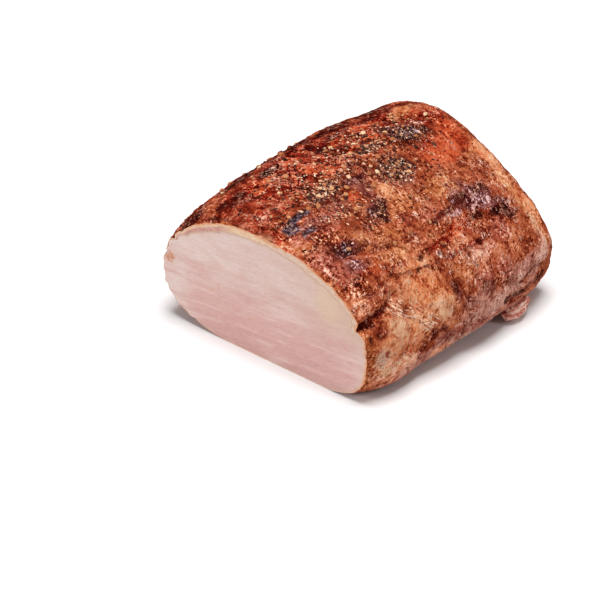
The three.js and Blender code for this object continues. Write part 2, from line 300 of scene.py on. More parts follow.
# What the smoke and the heat made of the outside, with some painted light. Each entry is a patch: along,
# angle, reach along, reach round and strength. Fair and deep lighten and darken the skin, and still calms
# its detail.
# Rough is crackled bark, red the smoked ridge, russet its smooth parts, orange smooth lean under
# glaze, tan thin skin over fat and rosy the pinker skin of the sides. Mauve is bare lean that went
# dull, and plum is darker still. Gold is rendered fat, pale and clear are fat that barely browned,
# coral is where it blushed, sinew its strands and rim the edge along the cut. Meaty is bare lean low
# on the sides, the maroon stain is where it went dark and, in its band along the far slope of the ridge,
# partly painted shade, char is burnt black and peppered is caked with spice. The glint stain is where
# white highlights are painted on.
STAINS = {
    "fair": [
        (17, 95, 20, 16, 1.2), (36, 103, 14, 10, 1), (28, 123, 10, 6, 1.2), (4, 116, 9, 9, 1),
        (3, 64, 8, 12, 1.7), (65, 62, 9, 6, 0.9), (88, 87, 12, 7, 1.1), (90, 112, 12, 6, 0.8),
        (126, 95, 9, 8, 1), (20, 37, 18, 7, 0.7), (46, 31, 18, 6, 0.6), (94, 33, 32, 6, 0.9),
        (127, 38, 9, 9, 1.2), (76, 23, 12, 7, 1.5), (50, 20, 12, 7, 0.7), (5, 21, 8, 10, 1.4),
        (98, 14, 26, 9, 1.1), (28, 6, 9, 7, 1.1), (46, -1, 16, 9, 1.3), (20, -10, 24, 8, 1),
        (84, -4, 44, 8, 0.6), (126, 2, 11, 13, 1.4),
    ],
    "deep": [
        (14, 121, 9, 8, 1.2), (42, 120, 10, 7, 1.7), (80, 105, 22, 8, 1.5), (105, 80, 17, 16, 1.9),
        (37, 73, 22, 9, 2.2), (66, 73, 13, 8, 0.9), (18, 57, 9, 8, 0.9), (44, 51, 16, 9, 1.3),
        (86, 52, 14, 7, 0.5), (119, 55, 12, 8, 0.7), (42, 18, 9, 8, 0.9), (92, 67, 10, 10, 0.5),
        (111, 23, 9, 6, 1.2), (6, 8, 6, 5, 1),
    ],
    "rough": [
        (10, 40, 16, 30, 1), (58, 92, 100, 24, 1.3), (100, 32, 34, 12, 0.7), (19, 44, 18, 12, 0.7),
        (52, 56, 18, 12, 0.7), (60, 160, 100, 40, 1), (106, 82, 30, 14, 0.8), (4, 60, 8, 70, 0.6),
        (165, 150, 30, 80, 1),
    ],
    "red": [
        (48, 112, 100, 32, 1.3), (106, 104, 40, 22, 1.2), (125, 84, 12, 10, 1.1), (66, 26, 12, 3, 1.4),
        (56, 26, 14, 3, 0.7), (78, 20, 24, 2, 0.9), (72, 35, 14, 2, 0.8), (19, 96, 30, 18, 1),
        (2, 90, 7, 70, 0.8), (58, 150, 80, 20, 0.8), (148, 96, 20, 30, 0.7), (176, 180, 20, 90, 0.6),
        (13, 33, 18, 10, 0.4), (10, 112, 18, 20, 1),
    ],
    "orange": [
        (111, 64, 20, 14, 1.3), (126, 68, 11, 20, 1.2), (8, 106, 9, 11, 1), (79, 106, 13, 8, 1.1),
        (96, 107, 12, 8, 1), (48, 65, 6, 6, 1.3), (81, 28, 14, 5, 1), (35, 115, 10, 8, 0.9),
        (44, 41, 10, 7, 0.8), (56, 88, 13, 8, 0.8), (27, -4, 14, 5, 0.7), (93, 94, 10, 8, 0.8),
        (25, 112, 7, 9, 1), (50, 100, 8, 12, 1), (52, 114, 7, 8, 0.9), (29, 30, 20, 6, 0.6),
        (60, 176, 30, 14, 0.6), (150, 120, 18, 26, 0.8), (170, 30, 14, 60, 0.6),
    ],
    "tan": [
        (31, 46, 6, 13, 1.2), (44, 40, 13, 9, 0.9), (63, 59, 8, 9, 1.3), (90, 48, 18, 10, 1),
        (121, 101, 12, 9, 1), (125, 54, 9, 8, 0.8), (37, 31, 20, 6, 0.8), (114, 97, 7, 6, 0.7),
        (73, 17, 22, 5, 0.8), (5, 55, 7, 20, 0.6), (129, 30, 6, 26, 0.9), (40, 200, 40, 22, 0.8),
        (60, 48, 30, 14, 0.7), (44, 56, 18, 8, 0.5), (96, 44, 16, 12, 0.6), (96, 204, 36, 20, 0.7),
        (24, 170, 18, 12, 0.5), (84, 160, 20, 10, 0.4), (152, 60, 22, 40, 0.7), (160, 210, 26, 50, 0.7),
        (150, 320, 20, 60, 0.6),
    ],
    "russet": [
        (8, 112, 18, 26, 1.3), (22, 94, 16, 13, 1.1), (96, 118, 34, 8, 0.7), (60, 131, 44, 8, 0.9),
        (112, 90, 12, 8, 0.6), (3, 88, 6, 26, 0.8), (30, 126, 20, 8, 0.8), (30, 52, 9, 12, 0.6),
        (8, 9, 6, 5.5, 1.1), (9, 0, 1.6, 2.6, 1.3), (24, 5, 3, 3, 0.5), (80, 160, 50, 14, 0.6),
        (160, 180, 16, 30, 0.6),
    ],
    "rosy": [
        (9, 40, 12, 18, 1.2), (30, 63, 10, 8, 1), (22, 57, 12, 8, 0.8), (8, 60, 8, 8, 0.8),
        (72, 38, 16, 8, 0.6), (62, -7, 20, 5, 1), (84, 17, 24, 6, 0.8), (104, 20, 12, 8, 0.9),
        (80, 7, 14, 6, 0.8), (93, 7, 10, 6, 0.8), (58, 42, 10, 6, 0.7),
    ],
    "mauve": [
        (56, 72, 10, 5, 1.2), (102, 40, 5, 14, 0.8), (50, 52, 9, 8, 1), (19, 64, 15, 7, 0.8),
        (38, 66, 12, 9, 0.6), (55, 66, 8, 12, 0.8), (79, 61, 14, 9, 0.9), (54, 75, 7, 6, 1),
        (101, 88, 11, 11, 0.9), (114, 78, 5, 4, 0.9), (17, 92, 12, 9, 0.6), (59, 8, 8, 6, 0.8),
        (79, 4, 9, 5, 0.8), (48, -7, 12, 5, 0.9), (74, -7, 20, 5, 0.8), (58, 130, 24, 6, 0.6),
        (40, 160, 30, 8, 0.7), (110, 170, 24, 10, 0.6),
    ],
    "plum": [
        (105, 35, 16, 9, 1.4), (94, 38, 12, 6, 1), (104, 85, 12, 10, 1.3), (99, 93, 8, 6, 1),
        (113, 27, 10, 8, 1), (88, 34, 12, 4, 1), (50, 51, 9, 7, 0.9), (56, 73, 10, 4, 0.9),
        (20, 42, 15, 8, 0.9), (17, 35, 11, 6, 0.8),
    ],
    "gold": [
        (14, 5, 20, 12, 1.1), (39, 15, 26, 12, 1), (30, 4, 20, 12, 0.9), (48, 8, 14, 11, 1.1),
        (12, -5, 20, 10, 0.9), (44, 24, 22, 6, 0.7), (131, 52, 6, 30, 1), (131, 18, 6, 30, 0.9),
        (67, 14, 16, 8, 0.6), (40, 206, 30, 14, 0.8), (152, 60, 18, 30, 0.6), (150, 320, 16, 40, 0.6),
    ],
    "meaty": [
        (112, 2, 30, 7, 1.1), (66, -15, 84, 11, 1.1), (127, 4, 9, 14, 0.5), (84, -4, 44, 8, 0.8),
        (60, 215, 90, 12, 1), (68, 2, 16, 5, 0.8),
    ],
    "pale": [
        (7, -2, 6, 8, 1.2), (1, 78, 4, 16, 1.2), (1, 100, 3, 14, 0.9), (13, 1, 12, 10, 0.7),
        (18, 7, 10, 8, 1.4), (48, 6, 10, 9, 1.3), (10, -9, 8, 4, 0.9), (33, 13, 6, 4, 0.9),
        (30, 17, 9, 6, 0.8), (32, 46, 5, 10, 0.6), (128, 14, 6, 9, 0.8), (83, 16, 24, 4, 0.7),
        (23, 14, 10, 5, 0.7), (35, 20, 12, 4, 0.5), (54, 200, 20, 8, 0.8), (100, 206, 16, 8, 0.7),
        (156, 220, 16, 20, 0.6), (132, 56, 4, 24, 0.8),
    ],
    "rim": [
        (0, 2, 5, 20, 1.3), (0, -12, 5, 10, 1.2), (0, 34, 4.5, 18, 0.8), (1, 118, 5, 20, 0.6),
    ],
    "coral": [
        (12, -13, 12, 4, 0.9), (22, -9, 14, 5, 1.4), (31, -3, 8, 5, 1.3), (46, -12, 14, 3.4, 0.8),
        (24, -2, 9, 4, 1), (15, -6, 11, 4, 0.9),
    ],
    "clear": [
        (7, -2, 5, 9, 1.4), (52, 4, 6, 5, 1), (68, 6, 8, 5, 0.5), (17, 3, 6, 6, 0.7),
    ],
    "still": [
        (6, 104, 16, 28, 0.7), (120, 62, 18, 18, 0.7), (124, 92, 12, 14, 0.5), (20, 4, 26, 16, 0.5),
        (60, -13, 84, 9, 0.5), (1, 60, 5, 60, 0.5), (64, 134, 80, 12, 0.5),
    ],
    "sinew": [
        (24, 14, 10, 5, 1.3), (31, 9, 9, 6, 1.4), (38, 3, 8, 5, 1.3), (60, -14, 40, 5, 0.6),
        (22, -7, 12, 5, 1),
    ],
    "maroon_and_ridge_shade": [
        (41, -3, 4, 5, 1.6), (48, -3, 3, 3, 1.4), (37, -8, 6, 3, 0.7), (50, 46, 3, 3, 1.3),
        (24, 40, 14, 3, 0.9), (14, 45, 8, 3, 0.8), (82, 36, 18, 2.4, 1), (50, 25, 4, 2.4, 1),
        (14, 78, 6, 2, 0.9), (45, 22, 3, 2, 1), (61, 23, 3, 2, 1), (87, 19, 4, 3, 1.2),
        (29, 25, 4, 1.6, 1), (46, -2, 3.4, 3, 1.4), (115, 10, 10, 2, 0.6), (60, 11, 8, 4, 0.9),
        (104, -6, 14, 2.6, 1), (122, -7, 10, 3, 1.5), (19, 121, 7, 6, 1.3), (10, 127, 7, 6, 1),
        (39, 122, 9, 5, 1), (67, 108, 6, 7, 0.9), (83, 114, 18, 6, 0.7), (33, 104, 10, 7, 0.7),
        (108, 111, 10, 7, 0.9), (104, 82, 10, 8, 1), (111, 26, 13, 3, 1.7), (117, 22, 8, 2.4, 1.3),
        (98, 28, 9, 3, 1.1), (96, 38, 5, 4, 1), (110, 38, 6, 3, 0.9), (3, 13, 8, 3, 1.5),
        (12, 15, 8, 2, 1), (2.5, 7, 2, 6, 0.8), (92, -6, 6, 2.6, 1.4), (23, 34, 7, 5, 0.5),
        (114, 78, 5, 4, 0.9), (77, 86, 8, 6, 0.7), (79, 75, 11, 3, 0.9), (89, 64, 3, 9, 0.9),
        (54, 54, 7, 7, 0.8), (55, 75, 6, 4, 0.8), (10, 77, 8, 3, 0.9), (58, 10, 6, 4, 0.8),
        # The next five patches, a band along the far slope of the ridge, are partly char and partly
        # painted shade of the slope turned away.
        (5, 148, 18, 12, 1.5), (39, 140, 28, 11, 1.4), (67, 133, 24, 10, 1.4), (93, 126, 22, 10, 1.4),
        (118, 120, 20, 10, 1.4), (3, 125, 4, 30, 0.7), (110, 170, 24, 10, 0.6), (150, 150, 20, 30, 0.7),
    ],
    "char": [
        (18, 73.5, 12, 4.6, 1.8), (11, 70, 6, 7, 1.6), (14, 61, 7, 4, 1.2), (106, 82, 8, 6, 0.6),
    ],
    "peppered": [
        (40, 79, 16, 10, 1.1), (78, 66, 14, 12, 1.4), (51, 50, 6, 4, 1), (81, 86, 14, 9, 0.8),
        (104, 83, 10, 8, 0.3), (58, 82, 22, 8, 0.5), (35, 60, 18, 8, 0.4), (50, 165, 30, 14, 0.5),
    ],
    # Where white glints are painted on as highlights.
    "painted_glints": [
        (64, 40, 3, 5, 1.6), (54, 34, 3, 6, 1.5), (72, 16, 12, 3, 1.2), (86, 34, 8, 3, 0.6),
        (20, 43, 7, 5, 0.8), (107, 32, 6, 7, 1.8), (120, 27, 4, 3, 1.3), (81, 24.5, 3, 2, 1.6),
        (76, 22, 3, 2, 1.4), (61, 23, 3, 3, 1.2), (28, 29, 4, 3, 1.3), (66, 21, 4, 3, 1),
        (94, 21, 9, 4, 1), (124, 33, 4, 3, 1), (60, 16, 5, 2, 1.2), (116, 19, 3, 2, 1.2),
        (75, 17, 22, 4, 0.7), (52, 126, 5, 4, 0.8), (77, 98, 5, 5, 0.7), (87, 15, 12, 4, 0.8),
        (66, 92, 5, 5, 0.8), (100, 108, 8, 6, 0.4), (35, 28, 16, 6, 0.5), (12, 22, 14, 6, 0.5),
        (87, 66, 6, 8, 0.5), (39, 114, 14, 10, 0.3), (116, 84, 8, 6, 0.4), (60, 175, 40, 12, 0.6),
        (150, 110, 20, 50, 0.6),
    ],
}
# Fine folds of the skin, where brown juice dried, drawn as dark lines that are partly their brown and
# partly painted shade: lines through (along, angle).
FOLD_HALF_WIDTH = 1.2
FOLDS = [
    [(0, 11.5), (7, 14), (16, 15.5)], [(20, 14), (27, 9), (34, 4), (40, -1)],
    [(12, 22), (22, 24), (32, 24), (45, 22), (53, 21)], [(55, 21), (75, 20), (88, 18.5), (96, 21)],
    [(62, 36), (80, 35), (98, 37)], [(2, 101), (10, 88), (16, 78)], [(42, -3), (38, -8), (36, -14)],
]
stain_felt = {name: patches(places) for name, places in STAINS.items()}
to_fold = np.min([distance_to_path(net_along, net_angle, path) for path in FOLDS], axis=0)
stain_felt["fold_shade"] = bell(to_fold / FOLD_HALF_WIDTH)
fat_felt, char_felt = stain_felt["gold"], stain_felt["char"]

# The fine relief of the crust, in mm: wrinkles where it shrank, fibres of the lean round the loin,
# and pits and blisters where it charred. Fat stays smoother.
FIBRE_LEAN = 0.3
WRINKLE_SIZE, WRINKLE_DEPTH = (15, 6, 12), 0.55
FIBRE_SIZE, FIBRE_DEPTH = (5, 1.7, 5), 0.16
PIT_SIZE, PIT_DEPTH = (2.4, 2.4, 2.4), 0.4
BLISTER_SIZE, BLISTER_HEIGHT = (3.6, 3.6, 3.6), 0.22
SMOOTH_OVER_FAT = 0.6
SHARP_CREASE_HALF_WIDTH = 1.1
SHARP_CREASE_DEPTH = 0.9
FINE_REACH = 0.5
CREVICE_SHADE_DEPTH = 0.7
NICK_ANGLE, NICK_SPREAD = 178, 50
NICK_SIZE, NICK_REACH, NICK_DEPTH = (5, 5, 3.2), 2.5, 2.2

leaning = crust_net.copy()
leaning[..., 1] += FIBRE_LEAN * leaning[..., 2]
lean_share = 1 - SMOOTH_OVER_FAT * np.clip(fat_felt, 0, 1)
wrinkles = -WRINKLE_DEPTH * (1 - np.abs(np.clip(uneven(leaning, WRINKLE_SIZE, 4), -1, 1))) ** 5
fibres = FIBRE_DEPTH * uneven(leaning, FIBRE_SIZE, 2)
pits = PIT_DEPTH * char_felt * np.minimum(uneven(crust_net, PIT_SIZE, 3), 0)
blisters = BLISTER_HEIGHT * uneven(crust_net, BLISTER_SIZE, 3)
fine_height = (wrinkles + fibres + blisters) * lean_share + pits
for depth, path in CREASES:
    closeness = bell(distance_to_path(net_along, net_angle, path) / SHARP_CREASE_HALF_WIDTH)
    fine_height -= SHARP_CREASE_DEPTH * min(1, depth / 2) * closeness
base_fade = np.clip(crust_net[..., 2] / FLAT_FADE_HEIGHT, 0, 1)
fine_height *= base_fade
at_nicks = bell(np.abs(turn(net_angle, NICK_ANGLE)) / NICK_SPREAD) * np.exp(-net_along / NICK_REACH)
fine_height -= NICK_DEPTH * at_nicks * np.clip(0.3 + uneven(crust_net, NICK_SIZE, 3), 0, 1)
crust_net += net_normals(crust_net) * np.minimum(fine_height, FINE_REACH)[..., None]
crust_net[0, :, 1] = 0
box_low = np.array(loin_low) / MM - frame_shift
box_high = np.array(loin_high) / MM - frame_shift
crust_net = np.clip(crust_net, box_low, box_high)

# The cut face: flat, with the faint ripples that the knife left across it. The cap of fat under the
# crust is thickest over the top of the cut: pairs of angle and thickness. A fleck of crust and a
# buttery spot lie on it at (x, z).
RIPPLE_DEPTH = 0.12
BROAD_RIPPLES, NARROW_RIPPLES = (30, 5, 2.2), (9, 5, 1.1)
CAP_OF_FAT = [
    (-38, 0.6), (0, 1.6), (14, 3.2), (34, 4.6), (56, 4.2), (72, 3.4), (95, 4), (125, 5), (142, 4.6),
    (154, 3.4), (166, 0.4), (322, 0.4),
]
FLECK, FLECK_RADIUS = (-58.5, 32), 5.5
BUTTERY, BUTTERY_RADIUS = (40, 43), 15
cut_middle = np.array([CUT_CENTRE[0], 0, CUT_CENTRE[1]])
cut_rings = cut_middle + (crust_net[0] - cut_middle) * cut_shares[:, None, None]
ripples = uneven(cut_rings, BROAD_RIPPLES, 3) + 0.6 * uneven(cut_rings, NARROW_RIPPLES, 2)
cut_rings[..., 1] = RIPPLE_DEPTH * np.maximum(1 + ripples, 0) * np.sqrt(1 - cut_shares[:, None])
rim_gap = np.linalg.norm(crust_net[0] - cut_rings, axis=-1)
cap_depth = rim_gap / np.interp(columns, *zip(*CAP_OF_FAT))


def spot_on_cut(place, radius):
    """Share felt of a round spot on the cut face, at (x, z)."""
    return bell(np.hypot(cut_rings[..., 0] - place[0], cut_rings[..., 2] - place[1]) / radius)


def ring_faces(ring_count, first):
    """Quads between neighbouring rings, with first the number of the first ring's first point."""
    ring, place = np.meshgrid(np.arange(ring_count - 1), np.arange(len(columns)), indexing="ij")
    beside = (place + 1) % len(columns)
    here, there = first + ring * len(columns), first + (ring + 1) * len(columns)
    return np.stack([here + place, there + place, there + beside, here + beside], -1).reshape(-1, 4)


def fan_faces(pole, first, outward):
    place = np.arange(len(columns))
    beside = (place + 1) % len(columns)
    one, other = (place, beside) if outward else (beside, place)
    return np.stack([np.full(len(columns), pole), first + one, first + other], -1)


def placed(name, data):
    """An object made from data and put into the scene."""
    piece = bpy.data.objects.new(name, data)
    bpy.context.collection.objects.link(piece)
    return piece


SHARP_ANGLE = 65
net = np.concatenate([cut_rings, crust_net])
end_pole = end_middle + [0, END_BULGE + end_relief(end_middle[:1], end_middle[2:])[0], 0]
points = np.concatenate([[cut_middle], net.reshape(-1, 3), [end_pole]])
last_ring = 1 + (len(net) - 1) * len(columns)
quads = ring_faces(len(net), 1)
faces = fan_faces(0, 1, True).tolist() + quads.tolist()
faces += fan_faces(len(points) - 1, last_ring, False).tolist()
loin_mesh = bpy.data.meshes.new("loin_meat")
loin_mesh.from_pydata(((points + frame_shift) * MM).tolist(), [], faces)
cut_faces = len(columns) * (1 + len(cut_rings))
is_crust = np.arange(len(faces)) >= cut_faces
loin_mesh.polygons.foreach_set("material_index", is_crust.astype(np.int32))
loin_mesh.polygons.foreach_set("use_smooth", np.ones(len(faces), bool))
loin_mesh.set_sharp_from_angle(angle=math.radians(SHARP_ANGLE))
loin_meat = placed("loin_meat", loin_mesh)


def keep_on_skin(name, on_cut, on_crust, pole=0.0):
    """Stores a share at every point of the skin, for its finish."""
    values = np.concatenate([[pole], np.broadcast_to(on_cut, cut_rings.shape[:2]).ravel(),
                             on_crust.ravel(), [on_crust[-1].mean()]])
    attribute = loin_mesh.attributes.new(name, "FLOAT", "POINT")
    attribute.data.foreach_set("value", values.astype(np.float32))


for name, felt in stain_felt.items():
    keep_on_skin(name, 0, felt)
no_crust = np.zeros(crust_net.shape[:2])
# Painted shade: how far the fine relief sinks, to darken the crust's colour in its cracks.
keep_on_skin("crevice_shade", 0, np.clip(-fine_height / CREVICE_SHADE_DEPTH, 0, 1))
keep_on_skin("cap_depth", cap_depth, no_crust, cap_depth.max())
keep_on_skin("rim_gap", rim_gap, no_crust, rim_gap.max())
keep_on_skin("fleck", spot_on_cut(FLECK, FLECK_RADIUS), no_crust)
keep_on_skin("buttery", spot_on_cut(BUTTERY, BUTTERY_RADIUS), no_crust)


def paint(red, green, blue):
    """A screen colour from 0 to 255, as the linear colour that a shader takes."""
    shares = np.array([red, green, blue]) / 255
    linear = np.where(shares <= 0.04045, shares / 12.92, ((shares + 0.055) / 1.055) ** 2.4)
    return (*linear, 1)


class Finish:
    """A material in the making: each method adds to it and gives back the socket of its result."""

    def __init__(self, name):
        self.material = bpy.data.materials.new(name)
        self.material.use_nodes = True
        self.nodes = self.material.node_tree.nodes
        self.links = self.material.node_tree.links
        self.shader = self.nodes["Principled BSDF"]
        self.place = self.nodes.new("ShaderNodeTexCoord").outputs["Object"]

    def put(self, value, socket):
        if isinstance(value, bpy.types.NodeSocket):
            self.links.new(value, socket)
        else:
            socket.default_value = value

    def felt(self, name):
        node = self.nodes.new("ShaderNodeAttribute")
        node.attribute_name = name
        return node.outputs["Fac"]

    def stretched(self, size, lean=(0, 0, 0)):
        """Object coordinates counted in lumps of the given size in mm, leant by turns."""
        node = self.nodes.new("ShaderNodeMapping")
        self.links.new(self.place, node.inputs["Vector"])
        node.vector_type = "TEXTURE"
        node.inputs["Rotation"].default_value = [math.radians(a) for a in lean]
        node.inputs["Scale"].default_value = [s * MM for s in size]
        return node.outputs["Vector"]

    def cloud(self, size, detail=3, rough=0.55, lean=(0, 0, 0), warp=0.0):
        node = self.nodes.new("ShaderNodeTexNoise")
        self.links.new(self.stretched(size, lean), node.inputs["Vector"])
        node.inputs["Scale"].default_value = 1
        node.inputs["Detail"].default_value = detail
        node.inputs["Roughness"].default_value = rough
        node.inputs["Distortion"].default_value = warp
        return node.outputs["Fac"]

    def cells(self, size):
        """Distance to the nearest of scattered spots, about a size apart."""
        node = self.nodes.new("ShaderNodeTexVoronoi")
        self.links.new(self.stretched(size), node.inputs["Vector"])
        node.inputs["Scale"].default_value = 1
        return node.outputs["Distance"]

    def step(self, value, low, high, top=1.0):
        """0 below low, top above high, smooth between; low above high turns it round."""
        node = self.nodes.new("ShaderNodeMapRange")
        node.interpolation_type = "SMOOTHSTEP"
        self.put(value, node.inputs["Value"])
        ends = (low, high, 0, top) if low < high else (high, low, top, 0)
        for socket, end in zip(("From Min", "From Max", "To Min", "To Max"), ends):
            node.inputs[socket].default_value = end
        return node.outputs["Result"]

    def math(self, way, *values):
        node = self.nodes.new("ShaderNodeMath")
        node.operation = way
        for value, socket in zip(values, node.inputs):
            self.put(value, socket)
        return node.outputs["Value"]

    def line(self, value, middle, outer, inner, top=1.0):
        """A thin line where value passes middle: 0 beyond outer from it, top within inner."""
        away = self.math("ABSOLUTE", self.math("SUBTRACT", value, middle))
        return self.step(away, outer, inner, top)

    def all_of(self, share, *others):
        """Where all the shares are felt."""
        for other in others:
            share = self.math("MULTIPLY", share, other)
        return share

    def swayed(self, value, *clouds):
        """A value pushed up and down by clouds, each given with its weight."""
        for cloud, weight in clouds:
            push = self.nodes.new("ShaderNodeMath")
            push.operation = "MULTIPLY_ADD"
            self.put(cloud, push.inputs[0])
            push.inputs[1].default_value = weight
            push.inputs[2].default_value = -weight / 2
            value = self.math("ADD", value, push.outputs["Value"])
        return value

    def tones(self, value, *stops):
        """Colours along a scale from 0 to 1, each stop a place and a paint."""
        node = self.nodes.new("ShaderNodeValToRGB")
        self.links.new(value, node.inputs["Fac"])
        ramp = node.color_ramp.elements
        while len(ramp) < len(stops):
            ramp.new(0.5)
        for stop, (place, colour) in zip(ramp, stops):
            stop.position = place
            stop.color = paint(*colour)
        return node.outputs["Color"]

    def mix(self, share, first, second, way="MIX"):
        """first where share is 0, second where it is 1."""
        node = self.nodes.new("ShaderNodeMix")
        node.data_type = "RGBA"
        node.blend_type = way
        self.put(share, node.inputs["Factor"])
        self.put(first, node.inputs[6])
        self.put(second, node.inputs[7])
        return node.outputs[2]

    def bumps(self, height, depth, below=None):
        node = self.nodes.new("ShaderNodeBump")
        node.inputs["Distance"].default_value = depth * MM
        self.links.new(height, node.inputs["Height"])
        if below is not None:
            self.links.new(below, node.inputs["Normal"])
        return node.outputs["Normal"]

    def done(self, colour, roughness, normal, **constants):
        self.links.new(colour, self.shader.inputs["Base Color"])
        self.put(roughness, self.shader.inputs["Roughness"])
        self.links.new(normal, self.shader.inputs["Normal"])
        for name, value in constants.items():
            self.shader.inputs[name.replace("_", " ")].default_value = value
        return self.material


# The cooked meat of the cut: cream lean, pinker and a little darker towards the bottom, and loose fibres
# along the face.
# Under the crust lies a cap of fat, with a strip of thin muscle in it on the left, and a faint seam
# parts it from the lean. The first values say where a tone begins and where it is full, in mm across
# the face or up it.
PINKER_UP, PINKER_LEFT, PINKER_RIGHT = (44, 16), (-56, -38), (64, 50)
BANDED_UP = (46, 28)
TANNED_ACROSS, TANNED_UP = (10, 52), (20, 38)
STRIP_ACROSS, PALE_FAT_ACROSS = (-14, -28), (-8, 14)
SEAM_UP = (18, 42)
RIM_ACROSS, RIM_UP = (-56, -40), (2, 12)

cut = Finish("cut_meat")
place_on_face = cut.nodes.new("ShaderNodeSeparateXYZ")
cut.links.new(cut.stretched((1, 1, 1)), place_on_face.inputs["Vector"])
over_face, up_face = place_on_face.outputs["X"], place_on_face.outputs["Z"]
mottling = cut.cloud((22, 20, 9), 4, 0.6, warp=0.5)
blotches = cut.cloud((5, 5, 3), 3, 0.6, warp=0.6)
fibres = cut.cloud((26, 8, 2.2), 4, 0.6, lean=(0, -4, 0), warp=0.6)
short_fibres = cut.cloud((4.5, 3, 0.9), 3, 0.6, lean=(0, -14, 0))
grain = cut.cloud((1.2, 1.2, 1.0), 2, 0.5)
meat = cut.mix(cut.step(mottling, 0.35, 0.65), paint(203, 172, 162), paint(211, 188, 181))
low = cut.step(cut.swayed(up_face, (mottling, 18.0), (fibres, 12.0)), *PINKER_UP)
sides = cut.all_of(cut.step(over_face, *PINKER_LEFT), cut.step(over_face, *PINKER_RIGHT))
meat = cut.mix(cut.all_of(low, sides), meat, paint(200, 157, 150))
bands = cut.cloud((30, 10, 3.2), 3, 0.5, lean=(0, -4, 0), warp=0.4)
banded = cut.step(cut.swayed(up_face, (mottling, 18.0)), *BANDED_UP)
meat = cut.mix(cut.all_of(cut.step(bands, 0.5, 0.64, 0.34), banded), meat, paint(190, 136, 134))
meat = cut.mix(cut.all_of(cut.step(bands, 0.46, 0.34, 0.45), banded), meat, paint(220, 190, 184))
tanned = cut.step(cut.swayed(over_face, (mottling, 24.0)), *TANNED_ACROSS)
tanned = cut.all_of(tanned, cut.step(up_face, *TANNED_UP, 0.8))
meat = cut.mix(tanned, meat, paint(200, 166, 146))
streaks = cut.all_of(cut.step(fibres, 0.46, 0.74), cut.step(mottling, 0.3, 0.6, 0.5))
meat = cut.mix(streaks, meat, paint(192, 142, 136))
meat = cut.mix(cut.step(short_fibres, 0.52, 0.76, 0.22), meat, paint(226, 206, 196))
meat = cut.mix(cut.step(grain, 0.45, 0.25, 0.2), meat, paint(194, 158, 142))
buttery = cut.step(cut.swayed(cut.felt("buttery"), (blotches, 0.8)), 0.2, 1.1, 0.5)
meat = cut.mix(buttery, meat, paint(212, 184, 152))
cap = cut.swayed(cut.felt("cap_depth"), (mottling, 0.5), (fibres, 0.4), (blotches, 0.5))
meat = cut.mix(cut.step(cap, 1.6, 0.9, 0.5), meat, paint(208, 178, 156))
in_strip = cut.step(over_face, *STRIP_ACROSS)
fatty = cut.mix(cut.step(over_face, *PALE_FAT_ACROSS), paint(218, 184, 150), paint(208, 178, 158))
fatty = cut.mix(cut.step(blotches, 0.52, 0.34, 0.55), fatty, paint(196, 144, 112))
strip = cut.tones(blotches, (0.3, (156, 98, 82)), (0.5, (188, 136, 122)), (0.7, (208, 164, 152)))
in_cap = cut.mix(cut.all_of(in_strip, cut.step(cap, 0.28, 0.42)), fatty, strip)
meat = cut.mix(cut.step(cap, 1.05, 0.75), meat, in_cap)
seam = cut.line(cap, 1.0, 0.24, 0.02, 0.4)
seam = cut.all_of(seam, cut.step(cut.swayed(up_face, (blotches, 30.0)), *SEAM_UP))
meat = cut.mix(seam, meat, paint(168, 124, 94))
gap = cut.swayed(cut.felt("rim_gap"), (mottling, 2.0), (short_fibres, 1.8), (blotches, 2.0))
browned = cut.mix(grain, paint(184, 104, 62), paint(232, 176, 132))
shown_rim = cut.all_of(cut.step(over_face, *RIM_ACROSS), cut.step(up_face, *RIM_UP))
meat = cut.mix(cut.all_of(cut.step(gap, 1.5, 0.5), shown_rim), meat, browned)
flecked = cut.step(cut.swayed(cut.felt("fleck"), (blotches, 1.6), (grain, 0.8)), 0.2, 0.6, 0.9)
meat = cut.mix(flecked, meat, cut.mix(grain, paint(150, 82, 56), paint(220, 160, 126)))
cut_finish = cut.done(
    meat, cut.step(short_fibres, 0.1, 1.1), cut.bumps(fibres, 0.2, cut.bumps(grain, 0.12)),
    Specular_IOR_Level=0.3,
)

# The crust. Its tone runs from dark, with painted shade in the cracks of its relief, to the light of the
# glazed tops, and each stain has its own colours for it. Specks of pepper dust, char, painted glint dots
# and painted highlight strokes lie over them.
crust = Finish("smoked_crust")
broad = crust.cloud((13, 10, 13), 3, 0.55, warp=0.6)
drift = crust.cloud((9, 12, 9), 3, 0.55, lean=(30, 0, 40), warp=0.5)
middling = crust.cloud((4.6, 3.6, 4.6), 4, 0.62, lean=(-24, 0, 0), warp=0.8)
small = crust.cloud((1.6, 2.1, 1.1), 3, 0.62, lean=(25, 0, 0), warp=0.3)
fine = crust.cloud((0.8, 1.0, 0.6), 2, 0.5, lean=(25, 0, 0))
strokes = crust.cloud((3.6, 1.2, 3.6), 2, 0.6, lean=(-26, 0, 0), warp=0.8)
veins = crust.cloud((5, 1.9, 5), 2, 0.5, lean=(-30, 0, 0), warp=1.2)
# Painted shade in the cracks, taken off the tone below.
crevice_shade_share = crust.felt("crevice_shade")
lively = crust.step(crust.cloud((7, 7, 5), 2, 0.5, lean=(25, 0, 0), warp=1.0), 0.38, 0.62, 1.5)
detail = crust.swayed(0.0, (small, 1.8), (fine, 1.3), (strokes, 1.1))
lively = crust.math("MULTIPLY", lively, crust.math("SUBTRACT", 1.0, crust.felt("still")))
detail = crust.math("MULTIPLY", detail, crust.math("ADD", lively, 0.35))
smoked = crust.math("SUBTRACT", crust.felt("fair"), crust.felt("deep"))
shade = crust.math("MULTIPLY_ADD", smoked, 0.25, crust.math("MULTIPLY", crevice_shade_share, -0.3))


